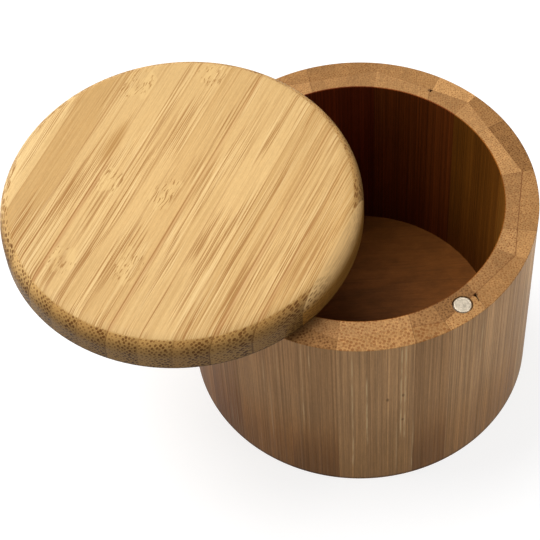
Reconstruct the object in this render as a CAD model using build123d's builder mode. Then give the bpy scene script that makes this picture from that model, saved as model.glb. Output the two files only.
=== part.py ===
from build123d import *
import os
from math import cos, radians, sin, tan

# Round salt box: a staved and turned body with a lid that swivels on a steel pin.
# Millimetres, +Z up. The origin is the centre of the underside. The pin stands on
# the +Y side of the rim and the catch magnet lies across from it, on the -Y side.

# Body: a ring of staves, turned round outside and bored inside
body_radius = 45.0
wall = 8.5
body_height = 62.5
rim_ease = 0.12           # chamfer on both edges of the rim
foot_ease = 0.25          # chamfer on the outer edge of the foot

# Staves: each one is two plies glued face to face, mitred to its neighbours
stave_count = 10
stave_turn = 8.3          # centre of the first stave, in degrees round from the magnet
outer_ply = 5.0           # outer ply at the middle of a stave
turning_stock = 2.0       # what the lathe takes off the faces of the glued-up ring

# Small void in the rim, where the first outer ply's two strips meet the glue plane
void_depth = 1.5
void_width = 1.1          # along the glue plane
void_reach = 2.2          # outwards, along the joint between the strips
void_offset = -2.3        # from the middle of the stave

# Smaller void in the rim, where the fourth inner ply's two strips meet the glue plane
nick_depth = 0.8
nick_width = 0.9          # along the glue plane
nick_reach = 1.0          # inwards, along the joint between the strips
nick_offset = -2.7        # from the middle of the stave

# Base disc, let into a rebate from below
base_thickness = 6.0
rebate_step = 2.0         # shoulder that the disc seats against
base_fit = 0.05
base_ease = 0.3

# Pin, pressed into the rim and running in the lid
pin_radius = 2.0
pin_length = 18.0
pin_seat = 12.0           # length held in the rim
pin_seat_fit = 0.03
pin_running_fit = 0.05
pin_end_gap = 0.5         # free depth over the pin's end in the lid
pin_ease = 0.4

# Magnets, one in the rim and one in the lid
magnet_radius = 2.38
magnet_thickness = 3.0
magnet_glue = 0.18        # ring of glue round each magnet
magnet_ease = 0.3         # chamfer round both faces
magnet_recess = 0.1       # each magnet lies this far below its surface
magnet_turn = 0.9         # degrees round the rim from straight across the pin
magnet_inset = 0.3        # from the middle of the wall towards the bore

# Lid, turned from a glued-up panel to the diameter of the body
lid_thickness = 9.0
lid_gap = 0.4             # between the rim and the underside of the lid
lid_top_round = 4.5
lid_under_ease = 0.2      # chamfer on the lower edge
lid_swing = 65.0          # how far the lid stands open, in degrees from closed

# Sizes that follow
bore_radius = body_radius - wall
ply_plane = body_radius - outer_ply
pin_circle = body_radius - wall / 2
magnet_pocket = magnet_radius + magnet_glue
magnet_circle = pin_circle - magnet_inset
magnet_x = -magnet_circle * sin(radians(magnet_turn))
magnet_y = -magnet_circle * cos(radians(magnet_turn))
magnet_depth = magnet_thickness + magnet_recess
disc_radius = bore_radius + rebate_step
lid_radius = body_radius
top_round = min(lid_top_round, 0.6 * lid_thickness)
pin_in_lid = pin_length - pin_seat - lid_gap + pin_end_gap

os.makedirs("parts", exist_ok=True)


def level_plane(x, y, z, heading):
    """Horizontal plane at (x, y, z) whose own X axis points along a heading in degrees."""
    along = (cos(radians(heading)), sin(radians(heading)), 0)
    return Plane(origin=(x, y, z), x_dir=along, z_dir=(0, 0, 1))


def write(piece, label):
    piece.part.label = label
    export_step(piece.part, f"parts/{label}.step")


# The whole ring, as it leaves the lathe and the drill
with BuildPart() as ring:
    with BuildSketch(Plane.XY):
        Circle(body_radius)
        Circle(bore_radius, mode=Mode.SUBTRACT)
    extrude(amount=body_height)
    rim_edges = ring.edges().filter_by(GeomType.CIRCLE).group_by(Axis.Z)[-1]
    chamfer(rim_edges, rim_ease)
    foot_edge = ring.edges().filter_by(GeomType.CIRCLE).group_by(Axis.Z)[0].sort_by(SortBy.RADIUS)[-1]
    chamfer(foot_edge, foot_ease)
    with BuildSketch(Plane.XY):
        Circle(disc_radius)
    extrude(amount=base_thickness, mode=Mode.SUBTRACT)
    with BuildSketch(Plane.XY.offset(body_height)):
        with Locations((0, pin_circle)):
            Circle(pin_radius + pin_seat_fit)
    extrude(amount=-pin_seat, mode=Mode.SUBTRACT)
    with BuildSketch(Plane.XY.offset(body_height)):
        with Locations((magnet_x, magnet_y)):
            Circle(magnet_pocket)
    extrude(amount=-magnet_depth, mode=Mode.SUBTRACT)

# Each ply is the stretch of that ring between two mitres and two flat faces
half_angle = 180.0 / stave_count
mitre = tan(radians(half_angle))
ply_faces = {
    "outer": (ply_plane, body_radius + turning_stock),
    "inner": (bore_radius * cos(radians(half_angle)) - turning_stock, ply_plane),
}
for number in range(stave_count):
    heading = -90.0 + stave_turn + 2 * half_angle * number
    for side, (near, far) in ply_faces.items():
        with BuildPart() as ply:
            add(ring.part)
            with BuildSketch(level_plane(0, 0, 0, heading)):
                with BuildLine():
                    Polyline(
                        (near, -near * mitre),
                        (far, -far * mitre),
                        (far, far * mitre),
                        (near, near * mitre),
                        close=True,
                    )
                make_face()
            extrude(amount=body_height, mode=Mode.INTERSECT)
            if number == 0 and side == "outer":
                with BuildSketch(level_plane(0, 0, body_height, heading)):
                    with BuildLine():
                        Polyline(
                            (ply_plane, void_offset - 0.5 * void_width),
                            (ply_plane + 0.3 * void_reach, void_offset - 0.3 * void_width),
                            (ply_plane + void_reach, void_offset - 0.8 * void_width),
                            (ply_plane + void_reach, void_offset - 0.65 * void_width),
                            (ply_plane + 0.35 * void_reach, void_offset + 0.15 * void_width),
                            (ply_plane, void_offset + 0.5 * void_width),
                            close=True,
                        )
                    make_face()
                extrude(amount=-void_depth, mode=Mode.SUBTRACT)
            if number == 3 and side == "inner":
                with BuildSketch(level_plane(0, 0, body_height, heading)):
                    with BuildLine():
                        Polyline(
                            (ply_plane, nick_offset - 0.5 * nick_width),
                            (ply_plane, nick_offset + 0.5 * nick_width),
                            (ply_plane - 0.6 * nick_reach, nick_offset + 0.2 * nick_width),
                            (ply_plane - nick_reach, nick_offset - 0.1 * nick_width),
                            (ply_plane - 0.5 * nick_reach, nick_offset - 0.2 * nick_width),
                            close=True,
                        )
                    make_face()
                extrude(amount=-nick_depth, mode=Mode.SUBTRACT)
        write(ply, f"stave_{number + 1:02d}_{side}")

with BuildPart() as base_disc:
    with BuildSketch(Plane.XY):
        Circle(disc_radius - base_fit)
    extrude(amount=base_thickness)
    chamfer(base_disc.edges().group_by(Axis.Z)[0], base_ease)
write(base_disc, "base_disc")

with BuildPart() as pivot_pin:
    with BuildSketch(Plane.XY.offset(body_height - pin_seat)):
        with Locations((0, pin_circle)):
            Circle(pin_radius)
    extrude(amount=pin_length)
    chamfer(pivot_pin.edges().filter_by(GeomType.CIRCLE), pin_ease)
write(pivot_pin, "pivot_pin")

with BuildPart() as rim_magnet:
    with BuildSketch(Plane.XY.offset(body_height - magnet_depth)):
        with Locations((magnet_x, magnet_y)):
            Circle(magnet_radius)
    extrude(amount=magnet_thickness)
    chamfer(rim_magnet.edges().filter_by(GeomType.CIRCLE), magnet_ease)
write(rim_magnet, "rim_magnet")

# The lid stands open: it has turned clockwise about the pin by lid_swing
lid_x = -pin_circle * sin(radians(lid_swing))
lid_y = pin_circle * (1 - cos(radians(lid_swing)))
lid_plane = level_plane(lid_x, lid_y, body_height + lid_gap, -lid_swing)

with BuildPart() as lid:
    with BuildSketch(lid_plane):
        Circle(lid_radius)
    extrude(amount=lid_thickness)
    fillet(lid.edges().group_by(Axis.Z)[-1], top_round)
    chamfer(lid.edges().group_by(Axis.Z)[0], lid_under_ease)
    with BuildSketch(lid_plane):
        with Locations((0, pin_circle)):
            Circle(pin_radius + pin_running_fit)
    extrude(amount=pin_in_lid, mode=Mode.SUBTRACT)
    with BuildSketch(lid_plane):
        with Locations((magnet_x, magnet_y)):
            Circle(magnet_pocket)
    extrude(amount=magnet_depth, mode=Mode.SUBTRACT)
write(lid, "lid")

with BuildPart() as lid_magnet:
    with BuildSketch(lid_plane.offset(magnet_recess)):
        with Locations((magnet_x, magnet_y)):
            Circle(magnet_radius)
    extrude(amount=magnet_thickness)
    chamfer(lid_magnet.edges().filter_by(GeomType.CIRCLE), magnet_ease)
write(lid_magnet, "lid_magnet")
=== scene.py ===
import math

import bpy
from mathutils import Matrix, Vector


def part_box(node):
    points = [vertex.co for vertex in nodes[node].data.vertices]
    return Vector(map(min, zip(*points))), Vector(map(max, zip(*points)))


# The look of a round bamboo salt box: its materials, the camera, the light and the floor.
# Every shape is the CAD's own. Lengths are in mm, but the camera's and the light's in metres.
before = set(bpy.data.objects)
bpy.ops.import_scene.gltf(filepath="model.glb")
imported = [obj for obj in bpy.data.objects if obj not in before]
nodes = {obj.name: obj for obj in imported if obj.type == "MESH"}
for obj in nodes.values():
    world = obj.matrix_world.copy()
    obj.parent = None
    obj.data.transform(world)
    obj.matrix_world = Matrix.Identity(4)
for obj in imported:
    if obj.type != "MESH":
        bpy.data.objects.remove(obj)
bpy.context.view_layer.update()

MM = 0.001
UP = (0, 0, 1)


# ------------------------------------------------ the pieces, in mm and degrees
def corners(node):
    """The lowest and the highest corner of a piece."""
    return [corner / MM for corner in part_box(node)]


def on_axis(node, height):
    """The point at a height on the upright axis of a round piece."""
    low, high = corners(node)
    x, y, _ = (low + high) / 2
    return x, y, height


BODY_HEIGHT = corners("stave_01_outer")[1].z
LID_BOTTOM = corners("lid")[0].z
# What the corners don't tell, as in part.py
BORE_RADIUS = 36.5
PLY_PLANE = 40.0           # from the axis to the glue plane between a stave's two plies
STAVE_TURN = 8.3           # from straight across the pin to the middle of the first stave
TOP_ROUND = 4.5            # radius of the lid's upper edge
MAGNET_FACE = 2.08         # radius of a magnet's flat face, inside its chamfer


# ------------------------------------------------ camera
VIEW_TURN = -38.7          # from the magnet's side of the box to the camera's, in degrees
CAMERA_DISTANCE = 0.53377  # metres from the origin
CAMERA_ELEVATION, CAMERA_ROLL = 57.075, 4.328
CAMERA_TARGET = (-0.023295, 0, 0.031875)   # before VIEW_TURN
SENSOR_WIDTH, FOCAL_LENGTH = 36.0, 128.70


def make_camera():
    """Above and in front of the box, at the side of the catch magnet, rolled a little."""
    turn = Matrix.Rotation(math.radians(VIEW_TURN), 3, "Z")
    tip, roll = math.radians(CAMERA_ELEVATION), math.radians(CAMERA_ROLL)
    place = turn @ Vector(
        (0, -CAMERA_DISTANCE * math.cos(tip), CAMERA_DISTANCE * math.sin(tip))
    )
    target = turn @ Vector(CAMERA_TARGET)
    ahead = (target - place).normalized()
    right = ahead.cross(Vector(UP)).normalized()
    down = ahead.cross(right)
    tilted_right = math.cos(roll) * right + math.sin(roll) * down
    tilted_down = math.cos(roll) * down - math.sin(roll) * right
    axes = Matrix((tilted_right, -tilted_down, -ahead)).transposed().to_4x4()
    data = bpy.data.cameras.new("camera")
    data.sensor_width = SENSOR_WIDTH
    data.lens = FOCAL_LENGTH
    data.clip_start = 0.01
    data.clip_end = 20
    camera = bpy.data.objects.new("camera", data)
    bpy.context.scene.collection.objects.link(camera)
    camera.matrix_world = Matrix.Translation(place) @ axes
    bpy.context.scene.camera = camera


# ------------------------------------------------ light
SKY_STRENGTH = 0.26
# Each lamp's azimuth, elevation and distance, the point it aims at, its size and its power
LAMPS = {
    "softbox": ((148, 63, 1.2), (-0.01, 0, 0.04), 0.9, 15.0),
    "fill": ((-25, 32, 1.2), (0, 0, 0.03), 0.5, 1.45),
}


def from_side(azimuth, elevation, distance):
    """A place seen from the camera's side: azimuth 0 is to its right, and 90 behind the box."""
    a, e = math.radians(azimuth + VIEW_TURN), math.radians(elevation)
    flat = distance * math.cos(e)
    return Vector((flat * math.cos(a), flat * math.sin(a), distance * math.sin(e)))


def make_light():
    world = bpy.data.worlds.new("studio")
    bpy.context.scene.world = world
    world.use_nodes = True
    sky = world.node_tree.nodes["Background"]
    sky.inputs["Color"].default_value = (1, 1, 1, 1)
    sky.inputs["Strength"].default_value = SKY_STRENGTH
    for name, (stand, target, size, power) in LAMPS.items():
        data = bpy.data.lights.new(name, "AREA")
        data.shape = "DISK"
        data.size = size
        data.energy = power
        lamp = bpy.data.objects.new(name, data)
        bpy.context.scene.collection.objects.link(lamp)
        lamp.location = from_side(*stand)
        aim = Vector(target) - lamp.location
        lamp.rotation_euler = aim.to_track_quat("-Z", "Y").to_euler()
    view = bpy.context.scene.view_settings
    view.view_transform = "Standard"
    view.look = "None"


# ------------------------------------------------ node graphs
BUMP_DEPTH = 0.0002        # metres
MIX_A, MIX_B, MIXED = 6, 7, 2              # the sockets that a Mix node has for colours


class Net:
    """One material and the few things its graph is made of."""

    def __init__(self, name):
        self.material = bpy.data.materials.new(name)
        self.material.use_nodes = True
        tree = self.material.node_tree
        tree.nodes.clear()
        self.tree = tree
        self.shader = tree.nodes.new("ShaderNodeBsdfPrincipled")
        output = tree.nodes.new("ShaderNodeOutputMaterial")
        tree.links.new(self.shader.outputs["BSDF"], output.inputs["Surface"])
        self.seen = self.node("ShaderNodeTexCoord", {}).outputs

    def plug(self, socket, value):
        if isinstance(value, bpy.types.NodeSocket):
            self.tree.links.new(value, socket)
        else:
            socket.default_value = value

    def node(self, kind, inputs, **settings):
        made = self.tree.nodes.new(kind)
        for key, value in settings.items():
            setattr(made, key, value)
        for key, value in inputs.items():
            self.plug(made.inputs[key], value)
        return made

    # ---- numbers
    def math(self, operation, *values):
        made = self.node("ShaderNodeMath", dict(enumerate(values)), operation=operation)
        return made.outputs[0]

    def add(self, *values):
        total = values[0]
        for value in values[1:]:
            total = self.math("ADD", total, value)
        return total

    def times(self, *values):
        total = values[0]
        for value in values[1:]:
            total = self.math("MULTIPLY", total, value)
        return total

    def less(self, a, b):
        return self.math("SUBTRACT", a, b)

    def most(self, a, b):
        return self.math("MAXIMUM", a, b)

    def square_sum(self, x, y):
        return self.add(self.times(x, x), self.times(y, y))

    def away(self, value, centre, reach):
        """How far a value lies from a centre, in units of reach."""
        return self.times(self.less(value, centre), 1 / reach)

    def ramp(self, value, low, high, to_low=0.0, to_high=1.0, smooth=True):
        """value mapped from low..high onto to_low..to_high, and held there beyond."""
        return self.node(
            "ShaderNodeMapRange",
            {
                "Value": value,
                "From Min": low,
                "From Max": high,
                "To Min": to_low,
                "To Max": to_high,
            },
            interpolation_type="SMOOTHSTEP" if smooth else "LINEAR",
        ).outputs["Result"]

    def pick(self, mask, off, on):
        """off where the mask is 0, on where it is 1, and in proportion between them."""
        return self.ramp(mask, 0, 1, off, on, smooth=False)

    def pick_listed(self, value, numbers):
        """One of the numbers, picked by value, which counts from 0 in whole steps."""
        place = self.times(self.add(value, 0.5), 1 / len(numbers))
        ramp = self.node("ShaderNodeValToRGB", {0: place})
        stops = ramp.color_ramp
        stops.interpolation = "CONSTANT"
        for k, number in enumerate(numbers):
            stop = stops.elements[k] if k < 2 else stops.elements.new(k / len(numbers))
            stop.position = k / len(numbers)
            stop.color = (number, number, number, 1)
        return self.parts(ramp.outputs[0])[0]

    def stroke(self, offset, core, fade, strength):
        """A line where the offset is near 0: full as far as core, and gone at fade."""
        return self.ramp(self.math("ABSOLUTE", offset), core, fade, strength, 0.0)

    # ---- vectors and colours
    def vector(self, x, y, z=0.0):
        return self.node("ShaderNodeCombineXYZ", {0: x, 1: y, 2: z}).outputs[0]

    def parts(self, vector):
        return self.node("ShaderNodeSeparateXYZ", {0: vector}).outputs

    def noise(self, point, scales, seed=0.0, detail=1.0, roughness=0.5, out="Fac"):
        """Noise at a point of two or three values, each of them with its own scale."""
        first, *others = [
            value if scale == 1.0 else self.times(value, scale)
            for value, scale in zip(point, scales)
        ]
        if seed:
            first = self.add(first, seed)
        return self.node(
            "ShaderNodeTexNoise",
            {
                "Vector": self.vector(first, *others),
                "Scale": 1.0,
                "Detail": detail,
                "Roughness": roughness,
            },
        ).outputs[out]

    def mix(self, factor, a, b, blend="MIX"):
        made = self.node("ShaderNodeMix", {0: factor}, data_type="RGBA", blend_type=blend)
        for socket, value in ((MIX_A, a), (MIX_B, b)):
            if isinstance(value, tuple):
                value = (*value, 1.0)
            self.plug(made.inputs[socket], value)
        return made.outputs[MIXED]

    def multiply(self, a, b):
        return self.mix(1.0, a, b, "MULTIPLY")

    def shade(self, ground, *levels):
        """ground made lighter or darker by the product of the levels."""
        level = self.times(*levels)
        return self.multiply(ground, self.vector(level, level, level))

    def toned(self, ground, grain, tones, *levels):
        """ground shaded by layers of the grain, as tones maps each of them, and by the levels."""
        layers = [self.ramp(grain[layer], *numbers) for layer, numbers in tones.items()]
        return self.shade(ground, *layers, *levels)

    # ---- the surface
    def place(self, origin, heading):
        """Millimetres from origin: along a heading in degrees, across it, and up."""
        angle = math.radians(heading)
        turn = Matrix.Rotation(-angle, 3, "Z")
        shift = turn @ Vector(origin)
        mapped = self.node(
            "ShaderNodeMapping",
            {
                "Vector": self.seen["Object"],
                "Location": tuple(-shift),
                "Rotation": (0, 0, -angle),
                "Scale": (1 / MM,) * 3,
            },
            vector_type="POINT",
        )
        return self.parts(mapped.outputs[0])

    def facing(self, axis):
        """1 where the surface faces along the axis, either way, and 0 where it runs along it."""
        pair = {0: self.seen["Normal"], 1: axis}
        dot = self.node("ShaderNodeVectorMath", pair, operation="DOT_PRODUCT")
        return self.math("ABSOLUTE", dot.outputs["Value"])

    def finish(self, colour, height, roughness, bump=0.2, specular=0.3):
        self.shader.inputs["Specular IOR Level"].default_value = specular
        self.plug(self.shader.inputs["Base Color"], colour)
        self.plug(self.shader.inputs["Roughness"], roughness)
        bumped = self.node(
            "ShaderNodeBump", {"Strength": bump, "Distance": BUMP_DEPTH, "Height": height}
        )
        self.plug(self.shader.inputs["Normal"], bumped.outputs["Normal"])
        return self.material


# ------------------------------------------------ bamboo
def bamboo(net, across, depth, along, seed, pitch=0.8, thick=0.24, sway=(0.5, 1.2), curl=0.0,
           run=1.0, tilt=0.0, scatter=0.62):
    """The layers of a bamboo strip's grain, from where a point lies in the strip, in mm.

    The fibre bundles are dots on end grain and streaks along the grain, with finer hair
    between them. pitch is how far apart they stand, and thick is their radius. sway is how
    far they wander across the strip and in its depth, and curl is a mask where they twist.
    run is how quickly the grain changes along the strip. tilt turns the lattice that the
    bundles stand on, and scatter is how far they stray from it.
    """
    straight = (across, depth, along)
    slow = net.parts(net.noise(straight, (0.13, 0.13, 0.03 * run), seed, out="Color"))
    a = net.add(across, net.times(net.less(slow[0], 0.5), sway[0] * 2))
    b = net.add(depth, net.times(net.less(slow[1], 0.5), sway[1] * 2))
    if curl:
        quick = net.parts(net.noise(straight, (0.4, 0.4, 0.16), seed, out="Color"))
        a = net.add(a, net.times(net.less(quick[0], 0.5), curl, 0.8))
        b = net.add(b, net.times(net.less(quick[1], 0.5), curl, 1.0))
    lattice = net.node(
        "ShaderNodeVectorRotate",
        {"Vector": net.vector(net.add(a, seed * 3.7), b), "Angle": tilt},
        rotation_type="Z_AXIS",
    ).outputs[0]
    cells = net.node(
        "ShaderNodeTexVoronoi",
        {"Vector": lattice, "Scale": net.math("DIVIDE", 1.0, pitch), "Randomness": scatter},
        voronoi_dimensions="2D",
    )
    chance = net.parts(cells.outputs["Color"])[0]
    radius = net.times(net.pick(chance, 0.78, 1.12), thick)
    beyond = net.less(cells.outputs["Distance"], radius)
    swayed = (a, b, along)
    return {
        "bundle": net.ramp(beyond, -0.03, 0.09, 1.0, 0.0),
        "halo": net.ramp(beyond, 0.06, 0.24, 1.0, 0.0),
        "chance": chance,
        "hair": net.noise(swayed, (2.8, 1.8, 0.045 * run), seed, 2.0, 0.6),
        "fine": net.noise(swayed, (6.5, 5.0, 0.22), seed, 2.0, 0.6),
        "band": net.noise(swayed, (0.75, 0.45, 0.02 * run), seed + 4, 2.0, 0.55),
        "cloud": net.noise(straight, (0.12, 0.12, 0.035), seed + 9),
        "fleck": net.noise(swayed, (3.1, 3.1, 0.9), 0.0, 2.0, 0.6),
    }


def relief(net, grain):
    """The height of the grain, for its bump: the hair stands up and the bundles lie lower."""
    return net.add(net.times(grain["hair"], 0.5), net.times(grain["bundle"], -0.5))


# ------------------------------------------------ staves
# A stave's ply is two strips side by side. The first number is where their joint is, in mm
# across the stave, and the second how far it leans, in mm across for each mm outwards. Then
# comes how light the strips are on the rim, from 0, brown, to 1, pale: before and after the
# joint, first for the outer ply and then for the inner one.
STAVES = {
    1: (-2.2, -0.28, (0.70, 0.42), (0.06, 0.34)),
    2: (-5.0, 0.02, (0.62, 0.48), (0.66, 0.38)),
    3: (3.3, 0.0, (0.14, 0.30), (0.76, 0.68)),
    4: (-2.8, 0.0, (0.95, 0.46), (0.44, 0.62)),
    5: (4.7, 0.0, (0.34, 0.46), (0.40, 0.70)),
    6: (6.0, 0.1, (0.50, 0.70), (0.40, 0.55)),
    7: (-4.0, 0.0, (0.70, 0.40), (0.55, 0.70)),
    8: (2.5, -0.1, (0.40, 0.60), (0.50, 0.40)),
    9: (1.9, 0.0, (0.40, 0.14), (0.58, 0.32)),
    10: (5.0, 0.0, (0.60, 0.38), (0.66, 0.24)),
}
HALF_STAVE = 180 / len(STAVES)
# In the fourth inner ply the joint leans, and starts this far across from the outer ply's
INNER_LEAN = {4: 0.32}
INNER_SHIFT = {4: 0.7}
NEXT_STRIP = 23.7          # mm that the grain jumps by at a joint
# How light a stave's wall is before and after the joint, and how brown it is at its foot
WALLS = {
    # stave 2's wall is made paler partly as its own tone and partly as painted light on the right
    # of the box
    1: ((0.58, 0.66), (0.0, 0.0)), 2: ((1.25, 0.95), (0.0, 0.0)),
    3: ((0.45, 0.60), (0.0, 0.0)), 4: ((0.75, 0.50), (0.0, 0.3)),
    5: ((0.55, 0.70), (0.0, 0.0)), 6: ((0.60, 0.50), (0.2, 0.0)),
    7: ((0.70, 0.45), (0.0, 0.3)), 8: ((0.40, 0.05), (0.0, 0.2)),
    9: ((0.30, 0.28), (0.1, 0.6)), 10: ((0.52, 0.30), (0.0, 0.6)),
}
# How warm the lower part of the wall is, before and after the joint
WARM_FEET = {1: (0.3, 0.4), 8: (1.0, 1.0), 9: (0.75, 0.6), 10: (0.0, 0.5)}
# How much lighter the wall is at its top, as painted sheen, before and after the joint
WALL_TOP_SHEEN = {1: (1.0, 1.10), 2: (1.16, 1.06)}
# How dark and how light the streaks on the wall are
WALL_STREAKS = {1: (0.82, 1.15), 8: (0.86, 1.12), 9: (0.88, 1.10)}
STREAKS_ELSEWHERE = (0.78, 1.18)
# A ply's fibre bundles: how far apart and how thick they are, in mm, and how dark they are
# before and after the joint
DOTS = {
    (1, "outer"): (0.66, 0.26, 0.90, 0.75), (1, "inner"): (0.70, 0.28, 0.90, 0.90),
    (2, "outer"): (0.64, 0.25, 0.65, 0.85), (2, "inner"): (0.66, 0.26, 0.95, 0.85),
    (3, "outer"): (0.60, 0.26, 1.00, 0.80), (3, "inner"): (0.60, 0.24, 0.85, 0.65),
    (4, "outer"): (0.60, 0.24, 0.70, 0.75), (4, "inner"): (0.60, 0.24, 0.90, 0.65),
    (5, "outer"): (0.60, 0.24, 0.90, 0.80), (5, "inner"): (0.60, 0.24, 0.60, 0.65),
    (9, "outer"): (0.82, 0.30, 1.00, 1.00), (9, "inner"): (0.70, 0.26, 0.80, 0.80),
    (10, "outer"): (0.92, 0.35, 0.80, 0.85), (10, "inner"): (0.84, 0.30, 0.78, 0.80),
}
DOTS_ELSEWHERE = (0.66, 0.26, 0.80, 0.80)
# Light lines on the outer wall: how far across each one is, its lower and upper end, and
# how strong it is
GLINTS = {
    1: ((-7.3, 48, 60, 0.5), (-4.2, 40, 60, 0.6), (-3.5, 50, 61, 0.4)),
    9: ((5.3, 24, 62, 0.5), (7.3, 52, 62, 0.5), (-5.4, 34, 49, 0.4)),
    10: ((-10.4, 8, 62, 0.6), (-6.9, 19, 50, 0.8), (1.6, 22, 62, 0.8), (2.6, 20, 62, 0.9),
         (4.9, 1, 30, 0.5)),
}
# Dark pores in the outer wall: across, up, and half the length of each one
PORES = {10: ((-1.8, 39.2, 1.0), (2.1, 40.2, 0.9), (2.1, 28.6, 0.8))}
PORE_HALF_WIDTH = 0.45
# How dark the glue between the plies shows, before and after the joint
GLUE_LINES = {
    1: (0.55, 0.60), 2: (0.80, 0.85), 3: (0.25, 0.10), 4: (0.20, 0.12), 9: (0.15, 0.12),
    10: (0.05, 0.50),
}
GLUE_ELSEWHERE = (0.12, 0.12)
# How dark the mitre joint is that comes after a stave's second strip
MITRE_LINES = {10: 0.55}
MITRE_ELSEWHERE = 0.12
# Brown glue stains round the voids: the ply, how far across and outwards, and the radius
STAINS = {1: (("outer", -2.3, 40.3, 0.9),), 4: (("inner", -2.2, 39.6, 0.55),)}
# How the layers of the grain shade a stave: from, to, and the level at each
STAVE_GRAIN = {
    "cloud": (0.3, 0.7, 0.94, 1.06), "band": (0.25, 0.75, 1.07, 0.92),
    "hair": (0.3, 0.7, 1.15, 0.85), "fine": (0.35, 0.65, 1.08, 0.92),
    "fleck": (0.25, 0.75, 0.94, 1.06),
}
RIM_BROWN, RIM_PALE = (0.235, 0.107, 0.033), (0.550, 0.290, 0.107)
RIM_FIBRE, RIM_FIBRE_BROWN = (0.245, 0.092, 0.025), (0.120, 0.046, 0.012)
WALL_BROWN, WALL_PALE = (0.216, 0.104, 0.034), (0.430, 0.250, 0.109)
WALL_FIBRE = (0.165, 0.082, 0.030)
WALL_FOOT = (0.120, 0.052, 0.012)
WALL_WARM = (0.96, 0.76, 0.42)
# Painted shade: the wall is darker and warmer towards its foot, and a little bluer at its top
WALL_SHADE_LOW, WALL_SHADE_HIGH = (0.75, 0.69, 0.57), (1.005, 1.005, 1.04)
GLINT_COLOUR = (0.46, 0.31, 0.155)
PORE_COLOUR = (0.070, 0.033, 0.012)
SEAM_COLOUR = (0.095, 0.036, 0.012)
GLUE_COLOUR = (0.150, 0.048, 0.013)
# What a ply's colour is multiplied by on the wall of the bore: painted shade inside the box
BORE_SHADE = {
    2: (0.65, 0.41, 0.11), 3: (0.64, 0.39, 0.10), 4: (0.55, 0.24, 0.09), 5: (0.43, 0.13, 0.06),
}
BORE_SHADE_ELSEWHERE = (0.70, 0.44, 0.15)


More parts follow.
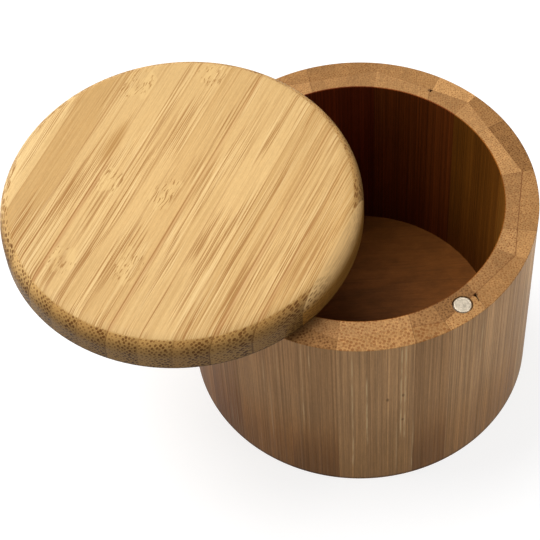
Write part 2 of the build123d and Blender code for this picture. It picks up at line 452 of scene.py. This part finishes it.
class Stave:
    """One ply of a stave: end grain on the rim, long grain on the wall, and the joints."""

    def __init__(self, number, side):
        self.number, self.side = number, side
        joint, lean, outer, inner = STAVES[number]
        if side == "inner":
            joint, lean = joint + INNER_SHIFT.get(number, 0.0), INNER_LEAN.get(number, lean)
        self.light = outer if side == "outer" else inner
        pitch, thick, *self.dark = DOTS.get((number, side), DOTS_ELSEWHERE)
        self.seed = number * 7.3 + (3.1 if side == "inner" else 0.0)
        net = self.net = Net(f"bamboo_stave_{number:02d}_{side}")
        # s runs outwards along the middle of the stave, t across it and z up
        heading = -90.0 + STAVE_TURN + 2 * HALF_STAVE * (number - 1)
        self.s, self.t, self.z = net.place((0, 0, 0), heading)
        self.joint_at = net.add(joint, net.times(net.less(self.s, PLY_PLANE), lean))
        self.past = net.math("GREATER_THAN", self.t, self.joint_at)
        self.across = net.add(self.t, net.times(self.past, NEXT_STRIP))
        self.grain = bamboo(net, self.across, self.s, self.z, self.seed, pitch=pitch,
                            thick=thick, sway=(0.12, 0.12), run=0.25, tilt=0.5 + 0.37 * number)
        self.end = net.ramp(net.facing(UP), 0.30, 0.60)
        self.long_grain = net.less(1.0, self.end)

    def by_strip(self, pair):
        """The first number of a pair before the joint, and the second past it."""
        return self.net.pick(self.past, *pair)

    def shade_wall(self, colour, level):
        """colour with the wall, but not the rim, made lighter or darker."""
        return self.net.shade(colour, self.net.ramp(self.end, 0, 1, level, 1.0))

    def wall(self):
        """The ground colour of the wall: browner towards its foot, darker there as painted shade,
        and lighter at the top of some staves as painted sheen.
        """
        net, number, z = self.net, self.number, self.z
        tones, feet = WALLS[number]
        wall = net.mix(self.by_strip(tones), WALL_BROWN, WALL_PALE)
        # painted shade, darker towards the foot
        wall = net.multiply(wall, net.mix(net.ramp(z, 0.0, 48.0), WALL_SHADE_LOW, WALL_SHADE_HIGH))
        # painted sheen, lighter at the top of the wall
        if number in WALL_TOP_SHEEN:
            top = self.by_strip(WALL_TOP_SHEEN[number])
            wall = net.shade(wall, net.ramp(z, 34.0, 56.0, 1.0, top))
        foot = net.times(self.by_strip(feet), net.ramp(z, 4.0, 26.0, 1.0, 0.0))
        wall = net.mix(foot, wall, WALL_FOOT)
        if number in WARM_FEET:
            warm = net.times(self.by_strip(WARM_FEET[number]), net.ramp(z, 10.0, 36.0, 1.0, 0.0))
            wall = net.mix(warm, wall, net.multiply(wall, WALL_WARM))
        return wall

    def fibres(self):
        """The strips' own tones, their streaks and their fibre bundles."""
        net, grain, end = self.net, self.grain, self.end
        pale = self.by_strip(self.light)
        ground = net.mix(end, self.wall(), net.mix(pale, RIM_BROWN, RIM_PALE))
        colour = net.toned(ground, grain, STAVE_GRAIN)
        line_at = (self.across, self.seed, self.z)
        line = net.noise(line_at, (2.6, 1.0, 0.010), detail=3.0, roughness=0.75)
        streaks = net.ramp(line, 0.36, 0.64, *WALL_STREAKS.get(self.number, STREAKS_ELSEWHERE))
        colour = self.shade_wall(colour, streaks)
        bundles = net.times(
            grain["bundle"],
            net.ramp(grain["chance"], 0, 1, 0.5, 1.0),
            net.ramp(end, 0, 1, 0.38, self.by_strip(self.dark)),
        )
        rim_fibre = net.mix(net.ramp(pale, 0.0, 0.5), RIM_FIBRE_BROWN, RIM_FIBRE)
        return net.mix(bundles, colour, net.mix(end, WALL_FIBRE, rim_fibre))

    def glints(self, colour):
        """Light lines on the wall: faint ones everywhere, and those in GLINTS."""
        net, seed, t, z = self.net, self.seed, self.t, self.z
        gleam = net.noise((self.across, seed + 3.0, z), (2.2, 1.0, 0.018))
        glints = net.ramp(gleam, 0.68, 0.72, 0.0, 0.3)
        if self.side == "outer":
            wander = net.noise((seed, 0.0, z), (1.0, 1.0, 0.08))
            wear_and_painted_light = net.noise((t, seed, z), (0.9, 1.0, 0.16))
            for place, low, high, strength in GLINTS.get(self.number, ()):
                off = net.add(t, net.times(wander, 0.5), -0.25 - place)
                line = net.times(
                    net.stroke(off, 0.08, 0.30, strength),
                    net.ramp(z, low - 3.0, low + 3.0),
                    net.ramp(z, high - 3.0, high + 3.0, 1.0, 0.0),
                    net.ramp(wear_and_painted_light, 0.35, 0.60, 0.3, 1.0),
                )
                glints = net.most(glints, line)
        return net.mix(net.times(glints, self.long_grain), colour, GLINT_COLOUR)

    def pores(self, colour):
        """The dark pores in PORES."""
        net = self.net
        if self.side == "outer":
            for across, height, half_length in PORES.get(self.number, ()):
                spot = net.square_sum(
                    net.away(self.t, across, PORE_HALF_WIDTH),
                    net.away(self.z, height, half_length),
                )
                pore = net.times(net.ramp(spot, 0.1, 1.0, 0.6, 0.0), self.long_grain)
                colour = net.mix(pore, colour, PORE_COLOUR)
        return colour

    def joints(self, colour):
        """The joint between the two strips, the mitre beside them and the glue between plies."""
        net, number, s, t = self.net, self.number, self.s, self.t
        seam = net.stroke(net.less(t, self.joint_at), 0.04, 0.16, 0.4)
        to_mitre = net.less(net.times(s, math.tan(math.radians(HALF_STAVE))), t)
        mitre_dark = MITRE_LINES.get(number, MITRE_ELSEWHERE)
        seam = net.most(seam, net.ramp(to_mitre, 0.04, 0.24, mitre_dark, 0.0))
        colour = net.mix(seam, colour, SEAM_COLOUR)
        patch_at = (t, self.seed, self.z)
        patches = net.noise(patch_at, (1.6, 1.0, 0.5), detail=2.0, roughness=0.55)
        glue = net.times(
            net.stroke(net.less(s, PLY_PLANE), 0.04, 0.20, 1.0),
            net.ramp(patches, 0.36, 0.52, 0.45, 1.0),
            self.by_strip(GLUE_LINES.get(number, GLUE_ELSEWHERE)),
        )
        return net.mix(glue, colour, GLUE_COLOUR)

    def stains(self, colour):
        """The glue stains in STAINS."""
        net = self.net
        for side, across, outwards, radius in STAINS.get(self.number, ()):
            if side == self.side:
                spot = net.square_sum(
                    net.away(self.t, across, radius), net.away(self.s, outwards, radius)
                )
                stain = net.ramp(spot, 0.1, 1.0, 0.8, 0.0)
                near_rim = net.ramp(self.z, 50.0, 55.0)
                colour = net.mix(net.times(stain, self.end, near_rim), colour, SEAM_COLOUR)
        return colour

    def bore(self, colour):
        """colour, and a deeper, darker one on the wall of the bore as painted shade."""
        net = self.net
        if self.side == "outer":
            return colour
        from_axis = net.math("SQRT", net.square_sum(self.s, self.t))
        near = net.ramp(from_axis, BORE_RADIUS + 0.1, BORE_RADIUS + 0.35, 1.0, 0.0)
        # painted shade on the wall of the bore
        tint = BORE_SHADE.get(self.number, BORE_SHADE_ELSEWHERE)
        return net.mix(near, colour, net.multiply(colour, tint))

    def material(self):
        net, grain = self.net, self.grain
        colour = self.pores(self.glints(self.fibres()))
        # painted shadow: the wall darkens in its lowest mm, where the box meets the floor
        colour = self.shade_wall(colour, net.ramp(self.z, 0.5, 1.5, 0.55, 1.0))
        colour = self.bore(self.stains(self.joints(colour)))
        roughness = net.ramp(grain["hair"], 0.2, 0.8, 0.42, 0.58)
        specular = 0.06 if self.side == "outer" else 0.10
        return net.finish(colour, relief(net, grain), roughness, bump=0.22, specular=specular)


# ------------------------------------------------ lid
GRAIN_HEADING = -62.6      # across the strips, in degrees
STRIP_EDGE, STRIP_PITCH = 2.0, 7.82
STRIP_FIRST = -7           # the lists below count the strips from here
JUMP_ALONG, JUMP_DEEP = 17.0, 41.3         # mm that the grain jumps by at each strip
# How light each strip is, from 0, caramel, to 1, pale
STRIP_LIGHT = (0.8, 1.0, 0.05, 0.60, 0.66, 0.60, 0.38, 0.60, 0.66, 0.25, 0.40, 0.05, 0.5)
# How dark the joint at the start of each strip is, on the camera's half of the lid and on
# the far half
JOINT_NEAR = (0.2, 0.2, 0.3, 0.5, 1.0, 0.4, 0.4, 0.9, 0.5, 0.5, 0.9, 0.9, 0.8)
JOINT_FAR = (0.2, 0.3, 0.3, 0.7, 0.3, 0.2, 0.3, 0.8, 0.3, 0.2, 0.7, 0.6, 0.7)
# Where a strip crosses a node of the culm: across and along the lid, and half its width
# and length, in mm
NODE_MARKS = (
    (-9.6, 36.8, 4.2, 5.0), (-25.2, 26.7, 4.4, 7.0), (-17.7, -3.2, 4.2, 4.6),
    (-3.6, -0.9, 3.8, 7.0), (-17.4, -29.0, 4.2, 4.8), (-1.6, -24.0, 4.0, 7.0),
)
SMUDGE = (-22.4, 8.0, 2.2, 9.0)            # a soft brown cloud beside a joint, likewise
LENS_EDGE = STRIP_EDGE + 5 * STRIP_PITCH   # where the last strip starts
CARAMEL, PALE_HONEY = (0.598, 0.356, 0.132), (0.772, 0.512, 0.220)
HONEY_STREAK = (0.355, 0.168, 0.046)
HONEY_LINE = (0.350, 0.155, 0.040)
HONEY_BAND = (0.500, 0.290, 0.100)
HONEY_LIGHT = (0.860, 0.620, 0.300)
END_CARAMEL, END_HONEY = (0.320, 0.170, 0.050), (0.420, 0.240, 0.076)
END_FIBRE = (0.125, 0.050, 0.012)
NODE_PALE = (0.790, 0.535, 0.225)
SMUDGE_COLOUR = (0.46, 0.245, 0.075)
RUST = (0.46, 0.215, 0.075)
LENS_TAN = (0.640, 0.400, 0.165)
# The lens is painted darker low on the rounding: painted shade
LENS_LOW_SHADE, LENS_HIGH = (0.42, 0.33, 0.17), (1.0, 1.0, 1.0)
LID_GRAIN = {"fine": (0.3, 0.7, 1.04, 0.96), "fleck": (0.25, 0.75, 0.95, 1.05)}
LENS_GRAIN = {"fine": (0.3, 0.7, 1.06, 0.94), "hair": (0.3, 0.7, 1.08, 0.92)}
# The streaks along the grain, in the order they are laid: the layer, the values between
# which a streak comes up, how strong it gets, and its colour
LID_STREAKS = (
    ("hair", 0.44, 0.37, 0.30, HONEY_LIGHT),
    ("hair", 0.60, 0.64, 0.32, HONEY_STREAK),
    ("line", 0.43, 0.39, 0.25, HONEY_LIGHT),
    ("line", 0.61, 0.63, 0.62, HONEY_LINE),
    ("thread", 0.585, 0.645, 0.72, HONEY_LINE),
    ("thread", 0.38, 0.31, 0.45, HONEY_LIGHT),
)


class Lid:
    """The lid's bamboo, drawn on the panel of strips that the lid was turned from."""

    def __init__(self):
        net = self.net = Net("bamboo_lid")
        # u runs across the strips, v along them and w up from the underside
        self.u, self.v, self.w = net.place(on_axis("lid", LID_BOTTOM), GRAIN_HEADING)
        steps = net.away(self.u, STRIP_EDGE, STRIP_PITCH)
        self.strip = net.math("FLOOR", steps)
        self.index = net.less(self.strip, STRIP_FIRST)
        self.part = net.less(steps, self.strip)   # 0 to 1 across each strip
        self.along = net.add(self.v, net.times(self.strip, JUMP_ALONG))
        self.depth = self.strip_depth()
        self.up = net.facing(UP)
        self.rounded, self.square = self.rounding()
        # on the first strips, end grain shows only where the cut is squarer
        least = net.ramp(self.u, -41.0, -33.0, 0.40, 0.0)
        self.end = net.times(self.rounded, net.ramp(net.less(self.square, least), 0.16, 0.42))
        self.long_grain = net.less(1.0, self.end)
        self.knots = self.node_mask()
        thick = net.ramp(self.rounded, 0, 1, 0.20, net.ramp(self.part, 0, 0.9, 0.29, 0.37))
        pitch = net.ramp(self.strip, 3.2, 3.8, 0.84, 0.62, smooth=False)
        self.grain = bamboo(net, self.u, self.depth, self.along, 5.0, pitch=pitch, thick=thick,
                            sway=(0.45, 1.1), curl=self.knots, tilt=0.75, scatter=0.5)
        # painted light and shade: the edge is paler at the back, and lighter the higher up it is
        self.lit_back = net.ramp(self.v, 0.0, 38.0, 0.0, 0.40)
        self.side = net.times(
            net.ramp(self.w, 6.2, 8.4, 0.80, 1.30), net.ramp(self.w, 4.2, 6.6, 0.78, 1.0)
        )
        self.fibre = self.fibre_colour()

    def strip_depth(self):
        """The way up a strip, measured along the lid's rounding so that the dots stay round."""
        net = self.net
        rise = net.math("MINIMUM", net.away(self.w, TOP_ROUND, TOP_ROUND), 0.9)
        arc = net.times(net.most(net.math("ARCSINE", rise), 0.0), TOP_ROUND)
        flat = net.math("MINIMUM", self.w, TOP_ROUND)
        return net.add(flat, arc, net.times(self.strip, JUMP_DEEP))

    def rounding(self):
        """Where the lid is rounded, and how square it cuts the grain there."""
        net = self.net
        axis = math.radians(GRAIN_HEADING + 90)
        steep = net.less(1.0, net.times(self.up, self.up))
        lean = net.math("SQRT", net.most(steep, 0.0001))   # never 0, because it divides
        cut = net.facing((math.cos(axis), math.sin(axis), 0))
        return net.ramp(lean, 0.38, 0.53), net.math("DIVIDE", cut, lean)

    def node_mask(self):
        """1 where a strip crosses a node, fading to 0 round it."""
        net, knots = self.net, 0.0
        for across, along, half_width, half_length in NODE_MARKS:
            x = net.away(self.u, across, half_width)
            y = net.away(self.v, along, half_length)
            reach = net.add(net.times(x, x, x, x), net.times(y, y))
            knots = net.most(knots, net.ramp(reach, 0.1, 1.0, 1.0, 0.0))
        return knots

    def fibre_colour(self):
        """The colour of the fibre bundles, darker as dots on the edge, with the edge's painted
        light and shade.
        """
        net = self.net
        fibre = net.mix(self.end, HONEY_STREAK, END_FIBRE)
        # painted light: the dots are paler at the back of the edge
        fibre = net.mix(net.times(self.lit_back, self.end), fibre, HONEY_STREAK)
        # painted shade on the dots: the edge's own, and darker still low on the edge
        painted_edge_shade = net.times(self.side, net.ramp(self.w, 3.5, 6.0, 0.75, 1.0))
        return net.shade(fibre, net.ramp(self.end, 0, 1, 1.0, painted_edge_shade))

    def ground(self):
        """The strips' own tones, on the top and on the end grain round the edge, with painted
        light and shade on both.
        """
        net, u, v, w = self.net, self.u, self.v, self.w
        light = net.pick_listed(self.index, STRIP_LIGHT)
        # painted light on the left of the lid: the edge is made lighter and paler there
        lit_left = net.ramp(u, -12.0, -28.0)
        # painted light and shade on the edge: paler at the back, lighter the higher up
        edge = net.mix(self.lit_back, net.mix(light, END_CARAMEL, END_HONEY), CARAMEL)
        edge = net.shade(
            edge, self.side, net.ramp(self.part, 0.1, 0.9, 1.06, 0.90), net.pick(lit_left, 1.0, 1.28)
        )
        edge = net.mix(net.times(lit_left, net.ramp(w, 6.0, 8.2), 0.5), edge, PALE_HONEY)
        # painted light on the top at its far left, where the rounding begins
        wear_and_painted_light = net.ramp(u, -43.5, -38.0, 0.55, 0.0)
        top = net.mix(wear_and_painted_light, net.mix(light, CARAMEL, PALE_HONEY), HONEY_LIGHT)
        halo = net.ramp(self.grain["halo"], 0, 1, 0.95, 1.14)
        return net.toned(
            net.mix(self.end, top, edge),
            self.grain,
            LID_GRAIN,
            # painted shade: the top is darker towards its left and towards both ends of the
            # strips
            net.ramp(u, -35.0, -5.0, 0.94, 1.0),
            net.ramp(v, 8.0, 35.0, 1.0, 0.94),
            net.ramp(v, -30.0, -10.0, 0.96, 1.0),
            net.ramp(self.end, 0, 1, 1.0, halo),
        )

    def streaks(self, colour):
        """Bands, hair, lines and threads along the grain, and the bundles over them."""
        net, u, v, grain = self.net, self.u, self.v, self.grain
        flock = net.noise((u, self.strip, v), (0.28, 2.9, 0.034))
        sparse = net.ramp(u, 12.0, 28.0, 0.16, 0.60)
        crowd = net.times(
            net.ramp(flock, 0.43, 0.60, sparse, 1.0), net.ramp(v, -25.0, 20.0, 1.08, 0.85)
        )
        bands = net.times(net.ramp(grain["band"], 0.56, 0.64, 0.0, 0.30), self.long_grain)
        colour = net.mix(bands, colour, HONEY_BAND)
        line_at = (net.add(u, net.times(grain["cloud"], 1.2)), self.depth, self.along)
        thread_at = (net.add(u, net.times(grain["cloud"], 0.8)), self.depth, self.along)
        layers = {
            "hair": grain["hair"],
            "line": net.noise(line_at, (2.5, 1.2, 0.030)),
            "thread": net.noise(thread_at, (4.2, 1.7, 0.040), detail=0.0),
        }
        for layer, low, high, strength, tint in LID_STREAKS:
            streak = net.ramp(layers[layer], low, high, 0.0, strength)
            colour = net.mix(net.times(streak, crowd, self.long_grain), colour, tint)
        as_dots = net.times(self.rounded, net.ramp(self.square, 0.02, 0.2))
        faint = net.times(net.ramp(grain["chance"], 0.3, 1, 0.1, 0.7), crowd)
        strong = net.ramp(grain["chance"], 0, 1, 0.7, 1.0)
        dense = net.ramp(self.part, 0, 0.8, 0.68, 1.0)
        bundles = net.times(grain["bundle"], dense, net.ramp(as_dots, 0, 1, faint, strong))
        return net.mix(bundles, colour, self.fibre)

    def node_marks(self, colour):
        """Pale flecks and brown strokes where a node crosses, and the smudge."""
        net, u, v, strip = self.net, self.u, self.v, self.strip
        bent = net.add(u, net.times(net.noise((u, strip, v), (0.25, 1.0, 0.2)), 1.6))
        twist = net.noise((bent, strip, v), (2.8, 5.1, 0.26))
        dash = net.noise((u, strip, v), (0.9, 2.3, 0.5))
        patch = net.noise((u, strip, v), (0.35, 3.7, 0.16))
        fade = net.times(net.less(1.0, self.knots), 0.18)
        core = net.times(net.ramp(self.knots, 0.0, 0.4), self.long_grain)
        flecks = net.times(net.ramp(net.less(patch, fade), 0.42, 0.55, 0.0, 0.4), core)
        colour = net.mix(flecks, colour, NODE_PALE)
        strokes = net.times(
            net.ramp(net.less(twist, fade), 0.55, 0.59, 0.0, 0.80),
            net.ramp(dash, 0.42, 0.55),
            core,
        )
        colour = net.mix(strokes, colour, HONEY_STREAK)
        across, along, half_width, half_length = SMUDGE
        spot = net.square_sum(net.away(u, across, half_width), net.away(v, along, half_length))
        smudge = net.times(net.ramp(spot, 0.0, 1.0, 0.6, 0.0), self.long_grain)
        return net.mix(smudge, colour, SMUDGE_COLOUR)

    def joints(self, colour):
        """The lines between the strips, some of them with rust beside them."""
        net = self.net
        ragged = net.times(net.less(self.grain["cloud"], 0.5), 60.0)
        weight = net.ramp(
            net.add(self.v, ragged), -8.0, 8.0,
            net.pick_listed(self.index, JOINT_NEAR), net.pick_listed(self.index, JOINT_FAR),
        )
        beside = net.times(self.part, STRIP_PITCH)
        rust = net.times(
            net.ramp(beside, 0.5, 1.5, 0.5, 0.0), net.ramp(weight, 0.6, 1.0), self.long_grain
        )
        colour = net.mix(rust, colour, RUST)
        line = net.times(net.ramp(beside, 0.0, 0.10), net.ramp(beside, 0.24, 0.42, 1.0, 0.0))
        joint = net.most(net.times(line, weight), net.ramp(beside, 0.0, 0.14, 0.35, 0.0))
        far_side = net.ramp(net.less(STRIP_PITCH, beside), 0.0, 0.14, 0.35, 0.0)
        joint = net.times(net.most(joint, far_side), net.ramp(self.end, 0, 1, 0.9, 0.75))
        return net.mix(joint, colour, net.mix(self.end, HONEY_LINE, self.fibre))

    def lens(self, colour):
        """The last strip, cut along its grain, which shows as a pale lens on the rounding."""
        net, u, v, w = self.net, self.u, self.v, self.w
        tan = net.toned(LENS_TAN, self.grain, LENS_GRAIN)
        # painted shade, darker low on the rounding
        tan = net.multiply(tan, net.mix(net.ramp(w, 4.5, 8.0), LENS_LOW_SHADE, LENS_HIGH))
        dots = net.times(self.grain["bundle"], net.ramp(v, -6.0, -18.0, 0.15, 0.8))
        tan = net.mix(dots, tan, END_FIBRE)
        colour = net.mix(net.ramp(u, LENS_EDGE - 0.05, LENS_EDGE + 0.1), colour, tan)
        outline = net.stroke(net.less(u, LENS_EDGE + 0.05), 0.05, 0.25, 0.45)
        return net.mix(net.times(outline, net.ramp(w, 5.5, 7.5)), colour, PALE_HONEY)

    def material(self):
        net, grain = self.net, self.grain
        colour = self.streaks(self.ground())
        colour = self.lens(self.joints(self.node_marks(colour)))
        # painted shade: a dark line along the lid's lower edge, where it sits on the rim
        lower_edge_shade = net.ramp(self.w, 0.15, 0.8, 0.42, 1.0)
        colour = net.shade(colour, net.ramp(self.up, 0.9, 0.99, lower_edge_shade, 1.0))
        roughness = net.ramp(grain["hair"], 0.2, 0.8, 0.42, 0.56)
        return net.finish(colour, relief(net, grain), roughness, bump=0.2, specular=0.08)


# ------------------------------------------------ base disc
BASE_HEADING = 55.0        # across the grain, in degrees
# The floor of the box is painted much darker than its underside, as painted shade inside the box
BASE_UNDER, BASE_FLOOR_SHADE = (0.330, 0.170, 0.062), (0.226, 0.075, 0.0135)
BASE_FIBRE = (0.12, 0.045, 0.010)


def base_material():
    """The floor of the box, darker than its paler underside as painted shade, with painted light
    at the right of the picture and painted shade at its front.
    """
    net = Net("bamboo_base")
    p, q, z = net.place((0, 0, 0), BASE_HEADING)
    grain = bamboo(net, p, z, q, 21.0, pitch=1.2, thick=0.22, sway=(1.6, 2.0))
    blotch = net.noise((p, q, z), (0.35, 0.16, 1.0), detail=2.0, roughness=0.6)
    colour = net.shade(
        net.mix(net.ramp(z, 0.5, 5.0), BASE_UNDER, BASE_FLOOR_SHADE),
        net.ramp(grain["cloud"], 0.3, 0.7, 0.90, 1.10),
        net.ramp(blotch, 0.3, 0.7, 0.88, 1.12),
        net.ramp(grain["hair"], 0.25, 0.75, 1.07, 0.93),
        net.ramp(grain["fleck"], 0.25, 0.75, 0.93, 1.07),
        # painted light towards the right of the picture, and painted shade at the floor's front
        net.ramp(q, 6.0, -30.0, 1.01, 1.24),
        net.ramp(p, 4.0, 18.0, 0.92, 1.01),
    )
    colour = net.mix(net.times(grain["bundle"], 0.2), colour, BASE_FIBRE)
    roughness = net.ramp(grain["hair"], 0.2, 0.8, 0.45, 0.6)
    return net.finish(colour, grain["hair"], roughness, bump=0.2, specular=0.1)


# ------------------------------------------------ metal
NICKEL, STEEL = (0.63, 0.54, 0.415), (0.62, 0.62, 0.63)
# Each metal piece: its material, the height that its stains are measured from, its colour, how
# rough it is, and how far from its axis its painted highlight starts
METALS = {
    "rim_magnet": ("nickel_rim", BODY_HEIGHT, NICKEL, 0.30, MAGNET_FACE),
    "lid_magnet": ("nickel_lid", LID_BOTTOM, NICKEL, 0.30, MAGNET_FACE),
    "pivot_pin": ("steel_pin", BODY_HEIGHT, STEEL, 0.25, None),
}


def metal_material(node, name, height, colour, roughness, edge):
    """Plated or bare metal, turned and a little stained, with a painted highlight round a
    magnet's face.
    """
    net = Net(name)
    x, y, z = net.place(on_axis(node, height), 0.0)
    radius = net.math("SQRT", net.square_sum(x, y))
    rings = net.noise((radius, z), (6.0, 3.0), detail=2.0, roughness=0.55)
    specks = net.noise((x, y, z), (3.0, 3.0, 3.0), detail=3.0, roughness=0.55)
    stain = net.noise((x, y, z), (0.9, 0.9, 0.9), detail=2.0, roughness=0.6)
    level = net.times(
        net.ramp(rings, 0.3, 0.7, 0.94, 1.04), net.ramp(specks, 0.3, 0.7, 0.9, 1.05)
    )
    tone = net.shade(colour, level, net.ramp(stain, 0.42, 0.62, 1.02, 0.84))
    # a painted highlight: a bright ring at the rim of a magnet's face and on its chamfer
    if edge:
        tone = net.shade(tone, net.ramp(radius, edge - 0.3, edge, 0.98, 1.20))
    net.shader.inputs["Metallic"].default_value = 1.0
    rough = net.ramp(specks, 0.3, 0.7, roughness, roughness + 0.15)
    return net.finish(tone, rings, rough, bump=0.15)


# ------------------------------------------------ floor
FLOOR_HALF = 3             # metres
FLOOR_GREY = (0.34, 0.34, 0.34, 1)
FLOOR_GLOW = 0.80


def make_floor():
    """A pale sheet that glows a little, so that it comes out nearly white."""
    square = [(-1, -1), (1, -1), (1, 1), (-1, 1)]
    mesh = bpy.data.meshes.new("floor")
    mesh.from_pydata([(FLOOR_HALF * x, FLOOR_HALF * y, 0) for x, y in square], [], [(0, 1, 2, 3)])
    sheet = bpy.data.objects.new("floor", mesh)
    bpy.context.scene.collection.objects.link(sheet)
    net = Net("floor_paper")
    x, y, _ = net.place((0, 0, 0), 0.0)
    tooth = net.noise((x, y), (0.8, 0.8), detail=3.0, roughness=0.55)
    net.shader.inputs["Emission Color"].default_value = (1, 1, 1, 1)
    net.shader.inputs["Emission Strength"].default_value = FLOOR_GLOW
    mesh.materials.append(net.finish(FLOOR_GREY, tooth, 0.8, bump=0.02))
    return sheet


# ------------------------------------------------ the scene
def dress(node, material):
    data = nodes[node].data
    data.materials.clear()
    data.materials.append(material)


make_camera()
make_light()
for number in STAVES:
    for side in ("outer", "inner"):
        dress(f"stave_{number:02d}_{side}", Stave(number, side).material())
dress("base_disc", base_material())
dress("lid", Lid().material())
for node, look in METALS.items():
    dress(node, metal_material(node, *look))
floor = make_floor()
